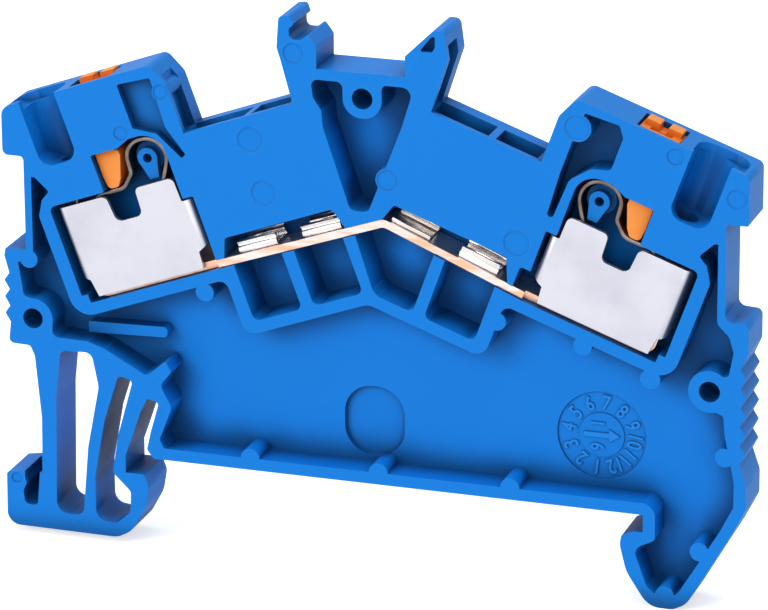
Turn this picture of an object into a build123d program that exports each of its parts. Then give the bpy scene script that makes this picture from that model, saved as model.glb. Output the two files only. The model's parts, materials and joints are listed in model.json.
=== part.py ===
from build123d import *
import math
import os

# Feed-through terminal block for a 35 mm rail, seen with its open side towards -Y.
# X runs along the block, Z points up from the rail, and the origin is on the rail seat.
# All sizes are millimetres. A height is measured from the closed back of the housing.

# Housing sizes
body_width = 3.5
deep_floor = 0.7
panel_floor = 1.3
front_skin = 0.4
shaft_floor = 1.1
ear_margin = 1.863
ear_step = 1.45
side_wall = 0.5
grip_bulge = 0.1
grip_top = 13.6
tooth_round = 0.1
tooth_lean = 0.45
cut_overshoot = 1.0
mark_depth = 0.06
mark_rim = 0.08

# Rail seat and hooks
rail_width = 35.0
rail_play = 0.15
rail_middle = 0.72
hook_gap = 1.2
hook_lip = 1.25
seat_wall = 0.8
foot_bottom = -5.85
fixed_foot_bottom = -6.25

# Leaning clamp units: u runs outwards and down, v runs up, both from the spring post
lean_angle = 20.0
post_reach = 15.15
post_level = 20.5
block_top = 5.9
shelf_level = 1.03
left_block_inner = -3.3
right_block_inner = -4.25
left_horn_foot = -11.2
right_horn_foot = -11.95
marker_level = 7.2
side_groove = 0.65
groove_floor = 1.3

# Current bar
bar_thickness = 0.5
bar_top = -7.6
bar_play = 0.4
bar_shoulder = -2.3
bar_clearance = 0.05
bar_bend = 0.35
peak_shift = 1.0
peak_rise = 0.15
peak_round = 0.6
contact_gap = 0.15
contact_top = -2.6

# Clamp cage
cage_sheet = 0.3
cage_play = 0.25
cage_inner = -2.1
cage_outer = 7.15
cage_bottom = -7.9
cage_shoulder = -1.6
cage_step = -3.25
cage_step_edge = -1.4
cage_back_top = -4.6
cage_bend = 0.5
mouth_inner = 1.4
mouth_outer = 3.55
mouth_floor = -3.45
cage_clearance = 0.3
pocket_wall = 0.9
seat_rib = 0.8
post_clearance = 0.2

# Clamp spring
spring_sheet = 0.28
spring_play = 0.1
spring_radius = 1.31
spring_rest = -1.5
spring_knee = 4.35
spring_clearance = 0.15
spring_leg = -0.35
spring_leg_slant = 60.0

# Spring post
post_foot_radius = 0.98
post_foot_height = 2.3
post_radius = 0.68
post_recess = 0.6
post_hole_radius = 0.31
post_hole_depth = 1.5
post_tail = 1.4
post_tail_half = 0.32

# Push button
button_clearance = 0.1
button_travel = 1.2
head_inner = 0.55
head_outer = 3.35
head_top = 6.05
head_ledge = 5.65
head_bottom = 3.3
stem_inner = 2.0
wedge_inner = 1.66
wedge_outer = 3.4
wedge_top = 1.1
wedge_tip = -1.3
driver_slot = 0.45
bump_thickness = 1.0

# Wire entry
funnel_inner = 4.4
funnel_outer = 7.05
funnel_bottom = 1.3
funnel_round = 0.9
funnel_hollow = 1.1
entry_radius = 0.9
entry_centre = 5.25
lead_in_inner = 4.3
lead_in_outer = 7.85
lead_in_depth = 0.6
lead_in_skin = 0.45

# Bridge windows, shafts and contacts. Clips are placed along the bar, from its shoulder
left_window_top = -6.28
right_window_top = -5.84
partition = 0.5
partition_centre = -7.8
shaft_side = 0.35
shaft_overlap = 0.3
clip_sheet = 0.2
clip_length = 2.75
clip_play = 0.5
clip_height = 0.82
clip_crease = 0.2
clip_lip = 0.35
left_outer_clip = 1.7
left_inner_clip = 6.3
right_outer_clip = 2.1
right_inner_clip = 6.95

# Cells under the bar
cell_bottom = -12.1
cell_wall = 0.8
cell_round = 0.45
left_cell_leg = -2.55
right_cell_leg = -3.2

# Stud holes for the next block
stud_hole_radius = 0.69
stud_hole_floor = 1.0
stud_hole_step = 0.05
stud_boss = 0.7
stud_play = 0.05
stud_length = 1.8
stud_lead = 0.2

# Worked-out values
lean = math.radians(lean_angle)
sine = math.sin(lean)
cosine = math.cos(lean)
core_height = (deep_floor + body_width) / 2
core_width = body_width - deep_floor
bar_width = core_width - bar_play
cage_width = core_width - cage_play
bar_tongue_width = cage_width - 2 * cage_sheet - spring_clearance
spring_width = bar_tongue_width - spring_play
clip_width = bar_width - clip_play
button_thickness = core_width - front_skin - 2 * button_clearance
post_height = body_width - post_recess
rail_left = rail_middle - rail_width / 2 - rail_play
rail_right = rail_middle + rail_width / 2 + rail_play
bar_bottom = bar_top - bar_thickness
contact_face = cage_outer - cage_sheet - contact_gap - bar_thickness
pocket_inner = cage_inner - cage_clearance
pocket_outer = cage_outer + 1.5 * cage_clearance
pocket_bottom = bar_bottom - bar_clearance
pocket_top = cage_shoulder + cage_clearance
ear_reach = post_reach + (pocket_outer + pocket_wall) * cosine + ear_margin
wall_reach = ear_reach - ear_step
grip_reach = ear_reach + grip_bulge
ear_bottom = post_level - 0.5
wall_top = post_level - 1.85
marker_floor = post_level + marker_level
middle_hole = (-0.3, marker_floor - 1.7)
left_hole = (-ear_reach + 1.8, 8.9)
right_hole = (ear_reach - 2.38, 8.82)


def leaned(side, along, up):
    """Place a point of a clamp unit: side is -1 for the left unit, 1 for the right one."""
    return (
        side * (post_reach + along * cosine + up * sine),
        post_level - along * sine + up * cosine,
    )


def corner(side, along, up, radius=0.0):
    """A rounded corner of an outline, given in a clamp unit's own directions."""
    return (*leaned(side, along, up), radius)


def middle(up, radius=0.0):
    """The corner where the two leaning lines at the same level meet, above the rail's middle."""
    along = -(post_reach + up * sine) / cosine
    return corner(1, along, up, radius)


def peak(up, radius=0.0):
    """The corner where the two runs of the current bar meet, a little right of the middle."""
    return (peak_shift, middle(up)[1] + peak_rise, radius)


def on_bar(side, distance, up=0.0, radius=0.0):
    """A corner above the top of a bar run, at a distance from the shoulder at its cage."""
    start_x, start_z = leaned(side, bar_shoulder, bar_top)
    run_x = peak(bar_top)[0] - start_x
    run_z = peak(bar_top)[1] - start_z
    length = math.hypot(run_x, run_z)
    run_x /= length
    run_z /= length
    return (
        start_x + run_x * distance + side * run_z * up,
        start_z + run_z * distance - side * run_x * up,
        radius,
    )


def inwards(side, distance, up, radius=0.0):
    """A rounded corner at a distance inwards from the outer face of an ear."""
    return (side * (ear_reach - distance), up, radius)


def beside_post(side, out, up, radius=0.0):
    """A rounded corner at an upright distance outwards and up from a spring post."""
    return (side * (post_reach + out), post_level + up, radius)


def horn(x, up, radius=0.0):
    """A rounded corner of the middle part, above or below the floor between the horns."""
    return (x, marker_floor + up, radius)


def foot(along, up, radius=0.0):
    """A rounded corner of the snap foot, placed from the left edge of the rail seat."""
    return (rail_left + along, up, radius)


def level(height):
    """The upright work plane at a height above the back face, facing the open side."""
    return Plane.XZ.offset(height - body_width / 2)


def clamp_plane(height):
    """The same plane, turned and moved to the right clamp unit: x is u and y is v."""
    return Plane(
        origin=(post_reach, body_width / 2 - height, post_level),
        x_dir=(cosine, 0, -sine),
        z_dir=(0, -1, 0),
    )


def outline(corners):
    """Draw the closed outline of (x, z, radius) corners in the sketch that is open."""
    with BuildLine() as edge:
        FilletPolyline(
            [(x, z) for x, z, _ in corners],
            radius=[radius for _, _, radius in corners],
            close=True,
        )
    make_face(edge.line)


def pocket(corners, floor, depth=None):
    """Cut an outline into the part that is open, from a floor height to the open side."""
    with BuildSketch(level(floor)) as cut:
        outline(corners)
    extrude(cut.sketch, amount=depth or body_width - floor + cut_overshoot, mode=Mode.SUBTRACT)


def raised(corners, floor, top):
    """Add a rib to the part that is open, between two heights."""
    with BuildSketch(level(floor)) as rib:
        outline(corners)
    extrude(rib.sketch, amount=top - floor)


def round_back(side, inner, outer):
    """Keep only what lies in a channel with a rounded back that runs along a clamp unit."""
    mouth_x, mouth_z = leaned(side, (inner + outer) / 2, block_top + cut_overshoot)
    across = Plane(
        origin=(mouth_x, -body_width / 2, mouth_z),
        x_dir=(side * cosine, 0, -sine),
        z_dir=(-side * sine, 0, -cosine),
    )
    with BuildSketch(across) as channel:
        RectangleRounded(outer - inner, 2 * (body_width - deep_floor), funnel_hollow)
    extrude(channel.sketch, amount=2 * block_top, mode=Mode.INTERSECT)


def top_edge(reach):
    """The level of the block's leaning top at a distance from the middle."""
    return leaned(1, (reach - post_reach - block_top * sine) / cosine, block_top)[1]


def teeth(side, top, bottom, count, root, tip):
    """The corners of the grip's small teeth, from the top one down."""
    step = (top - bottom) / count
    corners = []
    for index in range(count):
        start = top - index * step
        corners.append((side * root, start, tooth_round if index else 0))
        corners.append((side * tip, start - step * tooth_lean, tooth_round))
    corners.append((side * root, bottom, 0))
    return corners


left_outside = [
    (-wall_reach, ear_bottom, 0.3),
    (-ear_reach, ear_bottom, 0.4),
    (-ear_reach, top_edge(ear_reach), 0.8),
    corner(-1, left_block_inner + 0.7, block_top, 0.6),
    corner(-1, left_block_inner, block_top - 1.5, 0.6),
    corner(-1, left_block_inner, shelf_level),
    corner(-1, left_horn_foot, shelf_level),
]
horns_outside = [
    horn(-5.75, 0.4, 0.5),
    horn(-6.0, 1.2, 0.3),
    horn(-5.85, 3.25, 0.3),
    horn(-5.1, 3.35, 0.25),
    horn(-4.88, 2.75, 0.12),
    horn(-5.17, 2.5, 0.12),
    horn(-5.15, 1.8, 0.35),
    horn(-4.4, 1.8, 0.25),
    horn(-3.92, 2.2, 0.15),
    horn(-3.35, 1.45, 0.3),
    horn(-3.35, 0),
    horn(2.55, 0),
    horn(2.55, 1.35, 0.1),
    horn(4.4, 3.15, 0.3),
    horn(5.15, 3.15, 0.4),
    horn(5.4, 1.3, 0.3),
]
right_outside = [
    corner(1, right_horn_foot, shelf_level),
    corner(1, right_block_inner, shelf_level),
    corner(1, right_block_inner, block_top - 1.5, 0.6),
    corner(1, right_block_inner + 0.7, block_top, 0.6),
    (ear_reach, top_edge(ear_reach), 0.5),
    (ear_reach, ear_bottom, 0.15),
    (wall_reach, ear_bottom, 0.15),
    (wall_reach, grip_top, 0.5),
    (grip_reach, grip_top - 0.1, 0.4),
    (grip_reach, 11.6, 0.5),
    *teeth(1, 10.5, 4.1, 5, ear_reach - 0.38, ear_reach - 0.02),
    (grip_reach, 2.7, 0.8),
    (grip_reach, 1.1, 0.8),
    inwards(1, 0.8, -0.7, 0.3),
    inwards(1, 3.7, fixed_foot_bottom + 0.45, 1.4),
    inwards(1, 4.6, fixed_foot_bottom, 1.1),
    inwards(1, 6.2, fixed_foot_bottom, 1.5),
    (rail_right - 1.07, -4.0, 2.5),
    (rail_right - 1.52, -2.2, 0.9),
    (rail_right - 1.42, -hook_gap - 0.35, 0.2),
    (rail_right - 0.62, -hook_gap, 0),
    (rail_right, -hook_gap, 0),
    (rail_right, 0, 0),
]
foot_outside = [
    foot(1.98, 0, 0.2),
    foot(1.53, 0.6, 0.25),
    foot(1.83, 1.9, 0.3),
    foot(2.43, 3.95, 0.25),
    foot(1.63, 4.2, 0.3),
    foot(1.13, 3.2, 0.5),
    foot(0.33, 0.9, 0.5),
    foot(0, 0),
    foot(0, -hook_gap),
    foot(hook_lip, -hook_gap, 0.12),
    foot(1.58, -2.0, 0.8),
    foot(1.33, -3.5, 2.0),
    foot(0.33, -5.3, 1.4),
    foot(-0.67, foot_bottom, 1.4),
    foot(-8.52, foot_bottom + 0.05, 0.9),
    foot(-8.47, -2.1, 0.25),
    foot(-7.27, -1.9, 0.15),
    foot(-5.92, -1.9),
    foot(-5.85, 2.0, 1.5),
    inwards(-1, 1.85, 6.3, 0.4),
    inwards(-1, 1.55, 7.0, 0.3),
    inwards(-1, 0.05, 7.05, 0.35),
    *teeth(-1, 11.9, 8.5, 3, ear_reach - 0.22, ear_reach + 0.14)[::-1],
    (-grip_reach, 13.1, 0.2),
    (-ear_reach, grip_top - 0.03, 0),
    (-wall_reach, grip_top, 0),
]

panel_outline = [
    (-wall_reach + side_wall, wall_top, 0),
    inwards(-1, 2.2, wall_top, 0.05),
    corner(-1, 7.2, -0.3, 0.2),
    corner(-1, 7.9, -0.7, 0.2),
    corner(-1, pocket_outer + pocket_wall, -1.7, 0.6),
    corner(-1, pocket_outer + pocket_wall, pocket_bottom - seat_rib, 1.4),
    corner(-1, left_cell_leg, pocket_bottom - seat_rib, 0.6),
    corner(-1, left_cell_leg, cell_bottom - cell_wall, 0.9),
    middle(cell_bottom - cell_wall, 1.0),
    corner(1, right_cell_leg, cell_bottom - cell_wall, 0.9),
    corner(1, right_cell_leg, pocket_bottom - seat_rib, 0.6),
    corner(1, pocket_outer + pocket_wall, pocket_bottom - seat_rib, 1.4),
    corner(1, pocket_outer + pocket_wall, -1.7, 0.6),
    corner(1, 7.9, -0.7, 0.2),
    corner(1, 7.2, -0.3, 0.2),
    inwards(1, 2.2, wall_top, 0.05),
    (wall_reach - side_wall, wall_top, 0),
    (wall_reach - side_wall, grip_top - 0.2, 0.6),
    inwards(1, 1.15, 12.6, 0.2),
    inwards(1, 0.85, 11.6, 0.2),
    inwards(1, 1.15, 9.95, 0.25),
    (right_hole[0] + 0.2, right_hole[1] + 1.0, 0),
    (right_hole[0], right_hole[1], 0),
    (right_hole[0] + 0.2, right_hole[1] - 1.25, 0),
    inwards(1, 1.45, 7.3, 0.3),
    inwards(1, 1.35, 6.0, 0.5),
    inwards(1, 0.7, 2.9, 0.6),
    inwards(1, 0.7, 1.2, 0.6),
    inwards(1, 1.6, -0.6, 0.5),
    inwards(1, 4.4, -5.35, 0.8),
    inwards(1, 6.15, -5.35, 1.0),
    (rail_right - 0.62, -2.4, 0.6),
    (rail_right + seat_wall, -hook_gap - 0.45, 0.3),
    (rail_right + seat_wall, seat_wall, 0.9),
    foot(2.73, seat_wall, 0.15),
    foot(2.43, 1.4, 0.3),
    foot(3.33, 3.7, 0.6),
    foot(2.55, 5.2, 0.4),
    foot(3.35, 6.2, 0.15),
    foot(2.95, 6.9, 0.15),
    foot(1.63, 5.75, 0.3),
    foot(-1.27, 7.3, 0.6),
    foot(-2.47, 7.7, 0.4),
    (left_hole[0] + 1.35, 7.75, 0.4),
    (left_hole[0] + 1.35, 9.3, 0.5),
    (left_hole[0] + 0.6, 10.15, 0.4),
    inwards(-1, 1.2, 10.4, 0.3),
    inwards(-1, 0.85, 12.75, 0.1),
    (-wall_reach + side_wall, 12.75, 0),
]

cage_pocket = [
    (pocket_inner, cage_step + 0.17, 0.1),
    (-spring_radius - spring_sheet / 2 - post_clearance, cage_step + 0.17, 0.1),
    (
        -spring_radius - spring_sheet / 2 - post_clearance,
        spring_radius + spring_sheet / 2 + post_clearance,
        1.5,
    ),
    (0.55, spring_radius + spring_sheet / 2 + post_clearance, 0.5),
    (wedge_inner - 0.15, wedge_top + button_clearance + 0.05, 0.1),
    (wedge_outer + button_clearance, wedge_top + button_clearance + 0.05, 0.1),
    (wedge_outer + button_clearance, pocket_top, 0.1),
    (pocket_outer, pocket_top, 0.4),
    (pocket_outer, cage_bottom + 0.35, 0.1),
    (cage_outer, cage_bottom + 0.35, 0),
    (cage_outer, pocket_bottom, 0.1),
    (pocket_inner, pocket_bottom, 0),
]

left_foot_slots = [
    [
        inwards(-1, 3.65, 6.85, 0.4),
        inwards(-1, 5.85, 6.95, 0.6),
        foot(-1.77, 4.6, 1.2),
        foot(-2.62, 0.3, 2.0),
        foot(-3.07, -4.6, 0.6),
        foot(-4.97, -4.6, 0.8),
        foot(-4.79, 3.6, 1.5),
    ],
    [
        foot(-0.37, 5.55, 0.3),
        foot(0.63, 5.3, 0.3),
        foot(-0.47, 1.4, 2.0),
        foot(-0.92, -1.3, 0.6),
        foot(0.33, -2.5, 0.5),
        foot(0.28, -4.0, 0.6),
        foot(-0.77, -4.9, 0.5),
        foot(-2.17, -4.75, 0.8),
        foot(-2.17, -1.7, 2.0),
        foot(-1.42, 2.3, 2.0),
    ],
]
tab_pocket = [
    foot(-7.17, -1.9 + cut_overshoot),
    foot(-7.17, -2.4, 0.2),
    foot(-7.07, -2.75, 0.2),
    foot(-7.32, -3.3, 0.2),
    foot(-7.22, -4.25, 0.35),
    foot(-6.32, -4.25, 0.3),
    foot(-6.02, -1.9 + cut_overshoot),
]
vee_pocket = [
    horn(-3.75, -0.7, 0.4),
    horn(-1.6, -0.7, 0.45),
    horn(-1.6, -3.0, 1.25),
    horn(1.0, -3.0, 1.25),
    horn(1.0, -0.7, 0.3),
    horn(3.15, -0.7, 0.6),
    horn(2.3, -3.4),
    (0.05, peak(bar_top)[1] + 0.42, 0.5),
    (-1.15, peak(bar_top)[1] + 0.42, 0.5),
    horn(-2.95, -3.8, 0.3),
    horn(-3.05, -2.7, 0.3),
    horn(-3.6, -1.9, 0.4),
]
horn_window = [
    horn(3.5, 1.75, 0.1),
    horn(4.35, 1.75, 0.15),
    horn(4.54, 2.1, 0.1),
    horn(4.54, 2.85, 0.1),
    horn(4.25, 2.7, 0.1),
]
horn_groove = [
    corner(1, right_horn_foot - side_groove, shelf_level),
    horn(4.6, 1.3, 0.3),
    horn(4.6, 2.2, 0.4),
    horn(6.5, 2.2),
    corner(1, right_horn_foot + 1.0, shelf_level + 2.0),
    corner(1, right_horn_foot + 0.8, shelf_level),
]
block_groove = [
    corner(-1, left_block_inner + side_groove, shelf_level),
    corner(-1, left_block_inner + side_groove - 0.1, shelf_level + 1.5, 0.5),
    corner(-1, left_block_inner + 0.3, block_top - 0.9),
    corner(-1, left_block_inner - 0.8, block_top - 0.9),
    corner(-1, left_block_inner - 0.8, shelf_level),
]
left_shallow = [
    beside_post(-1, 1.8, 4.95, 0.15),
    beside_post(-1, -0.5, 5.6, 0.15),
    beside_post(-1, -0.85, 4.4, 0.3),
    beside_post(-1, -1.5, 2.4, 0.3),
    beside_post(-1, -2.85, 0.7, 0.1),
    beside_post(-1, -2.6, 0.4, 0.1),
    beside_post(-1, -0.9, 1.9, 0.1),
    beside_post(-1, 0.75, 2.1, 0.1),
]
right_shallow = [
    beside_post(1, -0.8, 5.9, 0.1),
    beside_post(1, 1.45, 5.3, 0.15),
    beside_post(1, 1.7, 4.5, 0.3),
    beside_post(1, 0.9, 2.3, 0.3),
    beside_post(1, -0.4, 2.3, 0.9),
    beside_post(1, -1.8, 1.45, 0.8),
    beside_post(1, -2.85, -1.1, 0.2),
    beside_post(1, -3.3, -1.15, 0.2),
    beside_post(1, -2.4, 1.85),
    beside_post(1, -1.65, 3.9),
]
panel_rib = [
    inwards(-1, 5.25, 8.68, 0.1),
    inwards(-1, 10.75, 8.82, 0.28),
    inwards(-1, 10.75, 8.1, 0.28),
    inwards(-1, 5.25, 7.92, 0.1),
]

# Round pads where the pushed-out marks of the mould stand: centre and radius
edge_pads = [
    inwards(-1, 1.61, 13.0, 0.62),
    (-11.15, 11.95, 0.62),
    (-4.15, 11.45, 0.62),
    (3.1, 11.85, 0.6),
    (8.6, 12.05, 0.62),
    (14.3, 11.0, 0.62),
    inwards(1, 6.25, 9.25, 0.66),
    inwards(1, 1.33, 4.5, 0.62),
    inwards(1, 2.9, -2.1, 0.62),
    inwards(1, 5.14, -5.35, 0.62),
    (-8.2, 0.8, 0.65),
    (0.6, 0.8, 0.65),
    (9.5, 0.8, 0.65),
]
block_bosses = [
    beside_post(-1, -1.2, 4.72, 0.5),
    beside_post(1, -1.3, 4.9, 0.84),
    horn(1.33, -6.95, 0.7),
]
face_marks = [
    *block_bosses,
    beside_post(-1, 1.6, 1.7, 0.48),
    horn(-4.9, 0.9, 0.68),
    beside_post(-1, -7.25, 2.1, 0.85),
    beside_post(-1, -8.15, -1.4, 0.85),
    beside_post(1, 5.05, 3.6, 0.55),
    inwards(1, 0.8, 21.7, 0.66),
    beside_post(1, -5.24, -3.1, 0.88),
    foot(-7.77, -2.45, 0.36),
]
round_recess = (-0.34, 3.53)
recess_width = 4.1
recess_height = 4.78
recess_depth = 0.35
date_dial = (14.97, 4.27)
dial_radius = 2.96
dial_depth = 0.12
dial_disc_radius = 1.5

with BuildPart() as housing:
    with BuildSketch(level(0)):
        outline(left_outside + horns_outside + right_outside + foot_outside)
    extrude(amount=body_width)

    pocket(panel_outline, panel_floor)
    with BuildSketch(level(panel_floor)):
        with Locations(right_hole, left_hole):
            Circle(stud_hole_radius + stud_boss)
        for x, z, radius in edge_pads:
            with Locations((x, z)):
                Circle(radius)
    extrude(amount=body_width - panel_floor)
    raised(panel_rib, panel_floor, panel_floor + 1.0)
    with BuildSketch(level(panel_floor - recess_depth)):
        with Locations(round_recess):
            RectangleRounded(recess_width, recess_height, 0.47 * recess_width)
    extrude(amount=recess_depth, mode=Mode.SUBTRACT)
    with BuildSketch(level(panel_floor - dial_depth)):
        with Locations(date_dial):
            Circle(dial_radius)
    extrude(amount=dial_depth, mode=Mode.SUBTRACT)
    with BuildSketch(level(panel_floor - dial_depth)):
        with Locations(date_dial):
            Circle(dial_disc_radius)
    extrude(amount=dial_depth * 0.6)

    # Pockets for the clamps, the current bar and the cells under it
    for side in (-1, 1):
        pocket([corner(side, u, v, r) for u, v, r in cage_pocket], deep_floor)
    channel_low = bar_bottom - bar_clearance
    channel_high = bar_top + bar_clearance
    pocket(
        [
            corner(-1, bar_shoulder, channel_low),
            peak(channel_low, peak_round),
            corner(1, bar_shoulder, channel_low),
            corner(1, cage_inner, channel_low),
            corner(1, cage_inner, channel_high),
            corner(1, bar_shoulder, channel_high),
            peak(channel_high, peak_round),
            corner(-1, bar_shoulder, channel_high),
            corner(-1, cage_inner, channel_high),
            corner(-1, cage_inner, channel_low),
        ],
        deep_floor,
    )
    for side, start, end in ((-1, 4.65, 1.16), (-1, 9.05, 5.5), (1, 5.45, 1.85)):
        pocket(
            [
                on_bar(side, start, -bar_thickness),
                corner(side, bar_shoulder - start, cell_bottom, cell_round),
                corner(side, bar_shoulder - end, cell_bottom, cell_round),
                on_bar(side, end, -bar_thickness),
            ],
            deep_floor,
        )
    middle_cell = middle(cell_bottom)[1]
    pocket(
        [
            on_bar(-1, 9.9, -bar_thickness),
            (0.3, middle_cell + 0.16, 0.4),
            (0.68, middle_cell - 0.25, 0.2),
            corner(1, -8.55, cell_bottom, cell_round),
            on_bar(1, 6.25, -bar_thickness),
            peak(bar_bottom + bar_clearance),
        ],
        deep_floor,
    )

    # Windows over the bar, and the shafts that lead down to them from the shelves
    for side, start, end, low_start, low_end, top in (
        (-1, -11.28, -3.49, 9.47, 0.64, left_window_top),
        (1, -12.11, -4.16, 10.24, 1.15, right_window_top),
    ):
        pocket(
            [
                on_bar(side, low_start, -bar_clearance),
                corner(side, start, top, 0.25),
                corner(side, end, top, 0.25),
                on_bar(side, low_end, -bar_clearance),
            ],
            deep_floor,
        )
    pocket(
        [
            on_bar(1, 0.85, -bar_clearance),
            corner(1, -3.1, right_window_top - 0.2, 0.2),
            corner(1, cage_inner, right_window_top - 0.2),
            corner(1, cage_inner, bar_top),
        ],
        deep_floor,
    )
    for side, block_side, horn_side in (
        (-1, left_block_inner, left_horn_foot + shaft_side),
        (1, right_block_inner - shaft_side, right_horn_foot),
    ):
        for start, end in (
            (horn_side, partition_centre - partition / 2),
            (partition_centre + partition / 2, block_side),
        ):
            pocket(
                [
                    corner(side, start, left_window_top - shaft_overlap),
                    corner(side, start, shelf_level + cut_overshoot),
                    corner(side, end, shelf_level + cut_overshoot),
                    corner(side, end, left_window_top - shaft_overlap),
                ],
                shaft_floor,
                body_width - front_skin - shaft_floor,
            )
    for groove in (horn_groove, block_groove):
        pocket(groove, groove_floor, body_width - front_skin - groove_floor)

    # Push button shafts, wire funnels and wire entries
    for side in (-1, 1):
        shaft_depth = body_width - front_skin - deep_floor
        head_floor = head_bottom - button_travel - button_clearance
        pocket(
            [
                corner(side, head_inner - button_clearance, head_floor),
                corner(side, head_inner - button_clearance, block_top + cut_overshoot),
                corner(side, head_outer + button_clearance, block_top + cut_overshoot),
                corner(side, head_outer + button_clearance, head_floor),
            ],
            deep_floor,
            shaft_depth,
        )
        pocket(
            [
                corner(side, stem_inner - button_clearance, wedge_top),
                corner(side, stem_inner - button_clearance, head_floor + button_clearance),
                corner(side, head_outer + button_clearance, head_floor + button_clearance),
                corner(side, head_outer + button_clearance, wedge_top),
            ],
            deep_floor,
            shaft_depth,
        )
        with BuildPart(mode=Mode.SUBTRACT):
            raised(
                [
                    corner(side, funnel_inner, funnel_bottom, funnel_round),
                    corner(side, funnel_inner, block_top + cut_overshoot),
                    corner(side, funnel_outer, block_top + cut_overshoot),
                    corner(side, funnel_outer, funnel_bottom, funnel_round),
                ],
                deep_floor,
                body_width + cut_overshoot,
            )
            round_back(side, funnel_inner, funnel_outer)
        with BuildPart(mode=Mode.SUBTRACT):
            raised(
                [
                    corner(side, lead_in_inner, block_top - lead_in_depth, 0.3),
                    corner(side, lead_in_inner, block_top + cut_overshoot),
                    corner(side, lead_in_outer, block_top + cut_overshoot),
                    corner(side, lead_in_outer, block_top - lead_in_depth, lead_in_depth),
                ],
                deep_floor,
                body_width - lead_in_skin,
            )
            round_back(side, lead_in_inner, lead_in_outer)
        entry_x, entry_z = leaned(side, entry_centre, pocket_top - 0.2)
        entry_plane = Plane(
            origin=(entry_x, body_width / 2 - core_height, entry_z),
            x_dir=(side * cosine, 0, -sine),
            z_dir=(side * sine, 0, cosine),
        )
        with BuildSketch(entry_plane):
            Circle(entry_radius)
        extrude(amount=funnel_bottom + funnel_round - pocket_top, mode=Mode.SUBTRACT)

    # Spring posts
    for side in (-1, 1):
        with BuildSketch(level(deep_floor)):
            with Locations(leaned(side, 0, 0)):
                Circle(post_foot_radius)
        extrude(amount=post_foot_height - deep_floor)
        with BuildSketch(level(deep_floor)):
            with Locations(leaned(side, 0, 0)):
                Circle(post_radius)
            with BuildLine():
                Polyline(
                    leaned(side, -post_radius, 0),
                    leaned(side, -post_tail_half, -post_tail),
                    leaned(side, post_tail_half, -post_tail),
                    leaned(side, post_radius, 0),
                    close=True,
                )
            make_face()
        extrude(amount=post_height - deep_floor)
        with BuildSketch(level(post_height - post_hole_depth)):
            with Locations(leaned(side, 0, 0)):
                Circle(post_hole_radius)
        extrude(amount=post_hole_depth, mode=Mode.SUBTRACT)

    # Marker pockets, foot slots, stud holes and mould marks
    pocket(vee_pocket, deep_floor)
    pocket(horn_window, body_width - 0.8)
    pocket(left_shallow, body_width - 0.8)
    pocket(right_shallow, body_width - 2.0)
    pocket(tab_pocket, deep_floor)
    for slot in left_foot_slots:
        pocket(slot, -cut_overshoot)
    with BuildSketch(level(deep_floor)):
        for x, z, radius in block_bosses:
            with Locations((x, z)):
                Circle(radius + mark_rim)
    extrude(amount=body_width - deep_floor)
    for index, hole in enumerate((left_hole, middle_hole, right_hole)):
        with BuildSketch(level(stud_hole_floor + index * stud_hole_step)):
            with Locations(hole):
                Circle(stud_hole_radius)
        extrude(amount=body_width, mode=Mode.SUBTRACT)
    with BuildSketch(level(0)):
        with Locations(middle_hole, left_hole, right_hole):
            Circle(stud_hole_radius - stud_play)
    extrude(amount=-stud_length)
    chamfer(housing.faces().sort_by(Axis.Y)[-3:].edges(), stud_lead)
    with BuildSketch(level(body_width - mark_depth)):
        for x, z, radius in face_marks:
            with Locations((x, z)):
                Circle(radius)
    extrude(amount=body_width, mode=Mode.SUBTRACT)

# Current bar: two leaning runs that meet in the middle, turned up inside both cages
bar_outer = contact_face + bar_thickness
with BuildPart() as current_bar:
    with BuildSketch(level(core_height - bar_width / 2)):
        outline(
            [
                corner(-1, bar_shoulder, bar_bottom),
                peak(bar_bottom, peak_round),
                corner(1, bar_shoulder, bar_bottom),
                corner(1, bar_shoulder, bar_top),
                peak(bar_top, peak_round),
                corner(-1, bar_shoulder, bar_top),
            ]
        )
    extrude(amount=bar_width)
    for side in (-1, 1):
        with BuildSketch(level(core_height - bar_tongue_width / 2)):
            outline(
                [
                    corner(side, bar_shoulder - 0.5, bar_bottom),
                    corner(side, bar_outer, bar_bottom, bar_bend + bar_thickness),
                    corner(side, bar_outer, contact_top),
                    corner(side, contact_face, contact_top, 0.2),
                    corner(side, contact_face, bar_top, bar_bend),
                    corner(side, bar_shoulder - 0.5, bar_top),
                ]
            )
        extrude(amount=bar_tongue_width)

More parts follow.
